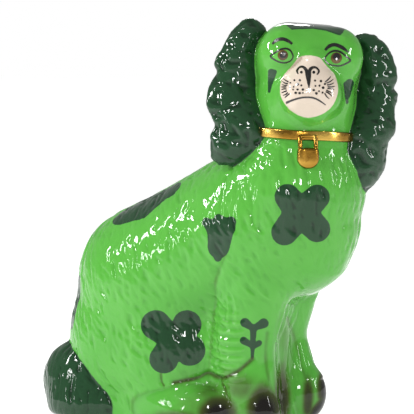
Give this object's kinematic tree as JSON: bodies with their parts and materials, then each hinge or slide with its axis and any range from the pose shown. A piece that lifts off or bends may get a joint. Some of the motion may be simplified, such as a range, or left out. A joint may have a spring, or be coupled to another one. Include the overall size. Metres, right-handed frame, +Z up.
{
  "type": "ceramic dog figurine",
  "caption": "Seated glazed earthenware spaniel with hanging ears, turned head, cream muzzle, curled tail, and a gilded collar with a padlock.",
  "frame": {"origin": "middle of the base slab's underside, on the surface that the figurine stands on", "axes": "+Z up, +X the way the body faces, -Y the display side; the head is turned about 57 degrees from +X to the display side"},
  "size_m": [0.2789, 0.1144, 0.3086],
  "materials": {
    "glaze_green": "apple green lead glaze, high gloss",
    "glaze_dark": "dark green enamel under gloss glaze",
    "glaze_cream": "cream to pink body colour, soft gloss",
    "gilding": "fired gilding, worn, bright",
    "biscuit": "unglazed fired clay"
  },
  "bodies": {
    "root": {"body_near_half": "glaze_green", "body_far_half": "glaze_green", "base_slab": "biscuit", "head_face": "glaze_green", "head_back": "glaze_green", "muzzle": "glaze_cream", "ear_right": "glaze_dark", "ear_left": "glaze_dark", "collar": "gilding", "padlock_shackle": "gilding", "padlock_body": "gilding", "foreleg_right": "glaze_green", "foreleg_left": "glaze_green", "leg_web": "glaze_green", "hind_paw_right": "glaze_green", "hind_paw_left": "glaze_green", "tail": "glaze_dark"}
  },
  "joints": []
}
